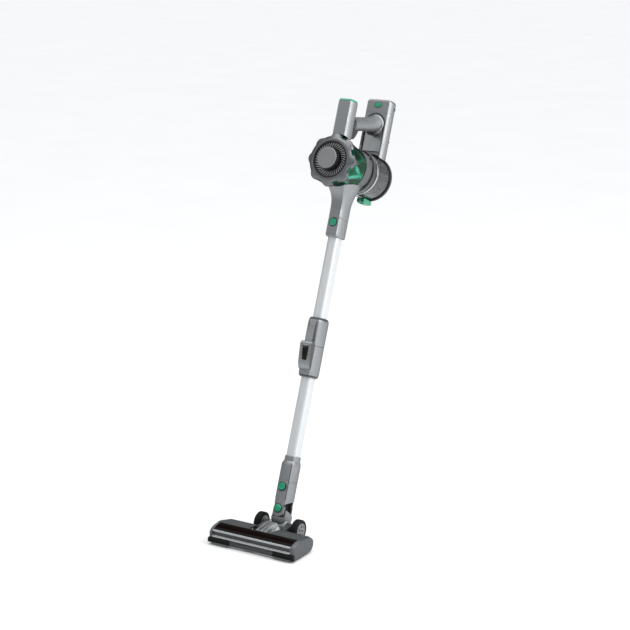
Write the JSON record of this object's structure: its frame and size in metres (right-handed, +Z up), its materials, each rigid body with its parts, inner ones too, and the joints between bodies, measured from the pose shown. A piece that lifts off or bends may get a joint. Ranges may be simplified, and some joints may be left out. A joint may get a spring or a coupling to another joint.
{
  "type": "cordless stick vacuum",
  "caption": "Cordless stick vacuum: powered floor head on a swivel neck, folding two-part wand, motor unit with clear dust cup, hand grip and slide-on battery.",
  "frame": {"origin": "middle of the hand grip, on its axis", "axes": "+Z up; +Y to the rear, towards the user; +X across the floor head, to the user's right"},
  "size_m": [0.231, 0.6089, 0.989],
  "materials": {
    "gunmetal_plastic": "satin metallic-flake paint on moulded plastic",
    "charcoal_plastic": "fine-grained dark plastic",
    "black_plastic": "smooth black plastic",
    "black_rubber": "matt black rubber",
    "green_plastic": "smooth green plastic",
    "green_metallic": "glossy green metallic finish on facets",
    "satin_aluminium": "satin anodised aluminium",
    "silver_plastic": "satin silver plastic",
    "smoke_clear": "smoke-tinted clear polycarbonate",
    "steel": "turned steel",
    "bristle_red": "dark red and black brush fibres",
    "filter_white": "pleated white filter paper",
    "cell_blue": "shrink-wrapped battery cells"
  },
  "bodies": {
    "main_unit": {"wand_socket": "gunmetal_plastic", "neck_housing": "gunmetal_plastic", "body_shell": "green_metallic", "vacuum_motor": "steel", "seal_ring": "black_rubber", "cyclone_ring": "gunmetal_plastic", "mesh_shroud": "silver_plastic", "dust_cup": "smoke_clear", "front_upright": "gunmetal_plastic", "upright_rim": "green_plastic", "display_panel": "black_plastic", "grip_tube": "gunmetal_plastic", "battery_dock": "silver_plastic", "upper_tube": "satin_aluminium", "fold_upper_housing": "gunmetal_plastic", "fold_hose": "black_rubber"},
    "exhaust_cap": {"star_collar": "gunmetal_plastic", "exhaust_grille": "charcoal_plastic", "exhaust_disc": "gunmetal_plastic", "hepa_filter": "filter_white"},
    "impeller": {"impeller": "silver_plastic"},
    "cup_lid": {"cup_lid": "smoke_clear"},
    "lid_latch": {"lid_latch": "green_plastic"},
    "trigger": {"trigger": "black_plastic"},
    "speed_button": {"speed_button": "green_plastic"},
    "battery": {"battery_case": "gunmetal_plastic", "battery_cells": "cell_blue"},
    "battery_button": {"battery_release_button": "green_plastic"},
    "wand_button": {"wand_release_button": "green_plastic"},
    "lower_wand": {"lower_tube": "satin_aluminium", "fold_lower_housing": "gunmetal_plastic", "fold_pin": "steel", "connector_lower": "gunmetal_plastic", "connector_upper": "gunmetal_plastic", "pivot_cap_front": "green_plastic", "pivot_cap_rear": "gunmetal_plastic", "swing_hose": "black_rubber"},
    "fold_button": {"fold_release_button": "black_plastic"},
    "head_button": {"head_release_button": "green_plastic"},
    "knuckle": {"tilt_knuckle": "gunmetal_plastic"},
    "floor_head": {"head_chassis": "charcoal_plastic", "head_top_cover": "charcoal_plastic", "roller_window": "smoke_clear", "front_frame": "silver_plastic", "front_bumper_left": "black_rubber", "front_bumper_right": "black_rubber", "front_flap": "charcoal_plastic", "end_cap_left": "gunmetal_plastic", "end_cap_right": "gunmetal_plastic", "nose_cover": "silver_plastic", "wheel_yoke": "charcoal_plastic", "drive_belt": "black_rubber", "brush_motor": "steel"},
    "brush_roll": {"brush_core": "charcoal_plastic", "brush_bristles": "bristle_red"},
    "motor_rotor": {"motor_pulley": "steel"},
    "wheel_left": {"wheel_tyre_left": "black_rubber", "wheel_hub_left": "silver_plastic"},
    "wheel_right": {"wheel_tyre_right": "black_rubber", "wheel_hub_right": "silver_plastic"}
  },
  "joints": [
    {"name": "exhaust_twist", "type": "hinge", "parent": "main_unit", "child": "exhaust_cap", "pos_m": [0, -0.13441, -0.06495], "axis": [0, 0.9329, -0.3602], "range_deg": [0, 20]},
    {"name": "impeller_spin", "type": "hinge", "parent": "main_unit", "child": "impeller", "pos_m": [0, -0.04299, -0.10024], "axis": [0, 0.9329, -0.3602], "continuous": true},
    {"name": "lid_open", "type": "hinge", "parent": "main_unit", "child": "cup_lid", "pos_m": [0, 0.08213, -0.08852], "axis": [1, 0, 0], "range_deg": [0, 90]},
    {"name": "latch_swing", "type": "hinge", "parent": "main_unit", "child": "lid_latch", "pos_m": [0, 0.01169, -0.18352], "axis": [-1, 0, 0], "range_deg": [0, 12], "stiffness_Nm_per_rad": 0.3, "springref_deg": -17.19},
    {"name": "trigger_pull", "type": "hinge", "parent": "main_unit", "child": "trigger", "pos_m": [0, -0.04509, -0.00296], "axis": [1, 0, 0], "range_deg": [0, 6], "stiffness_Nm_per_rad": 1.2, "springref_deg": -6.88},
    {"name": "speed_press", "type": "slide", "parent": "main_unit", "child": "speed_button", "axis": [0, -0.3602, -0.9329], "range_m": [0, 0.0008], "stiffness_N_per_m": 700, "springref_m": -0.0004},
    {"name": "battery_slide", "type": "slide", "parent": "main_unit", "child": "battery", "axis": [0, 0.3602, 0.9329], "range_m": [0, 0.06]},
    {"name": "battery_button_press", "type": "slide", "parent": "battery", "child": "battery_button", "axis": [0, 0.9329, -0.3602], "range_m": [0, 0.0022], "stiffness_N_per_m": 900, "springref_m": -0.0006},
    {"name": "wand_button_press", "type": "slide", "parent": "main_unit", "child": "wand_button", "axis": [0, 0.9329, -0.3602], "range_m": [0, 0.0025], "stiffness_N_per_m": 900, "springref_m": -0.0006},
    {"name": "wand_fold", "type": "hinge", "parent": "main_unit", "child": "lower_wand", "pos_m": [0, -0.23399, -0.48529], "axis": [-1, 0, 0], "range_deg": [0, 90], "deforming": ["fold_hose"]},
    {"name": "fold_button_press", "type": "slide", "parent": "lower_wand", "child": "fold_button", "axis": [0, 0.9329, -0.3602], "range_m": [0, 0.003], "stiffness_N_per_m": 900, "springref_m": -0.0006},
    {"name": "head_button_press", "type": "slide", "parent": "lower_wand", "child": "head_button", "axis": [0, 0.9329, -0.3602], "range_m": [0, 0.0025], "stiffness_N_per_m": 900, "springref_m": -0.0006},
    {"name": "neck_swing", "type": "hinge", "parent": "lower_wand", "child": "knuckle", "pos_m": [0, -0.34176, -0.85746], "axis": [0, 0.9329, -0.3602], "range_deg": [-55, 55], "deforming": ["swing_hose"]},
    {"name": "neck_tilt", "type": "hinge", "parent": "knuckle", "child": "floor_head", "pos_m": [0, -0.35652, -0.8957], "axis": [1, 0, 0], "range_deg": [-21, 60]},
    {"name": "brush_spin", "type": "hinge", "parent": "floor_head", "child": "brush_roll", "pos_m": [0, -0.45352, -0.902], "axis": [1, 0, 0], "continuous": true},
    {"name": "drive_spin", "type": "hinge", "parent": "floor_head", "child": "motor_rotor", "pos_m": [-0.101, -0.41252, -0.90121], "axis": [1, 0, 0], "continuous": true},
    {"name": "wheel_left_spin", "type": "hinge", "parent": "floor_head", "child": "wheel_left", "pos_m": [-0.0505, -0.35652, -0.8957], "axis": [1, 0, 0], "continuous": true},
    {"name": "wheel_right_spin", "type": "hinge", "parent": "floor_head", "child": "wheel_right", "pos_m": [0.0505, -0.35652, -0.8957], "axis": [1, 0, 0], "continuous": true}
  ],
  "couplings": [
    {"joint": "drive_spin", "follows": "brush_spin", "ratio": 1.8511}
  ]
}
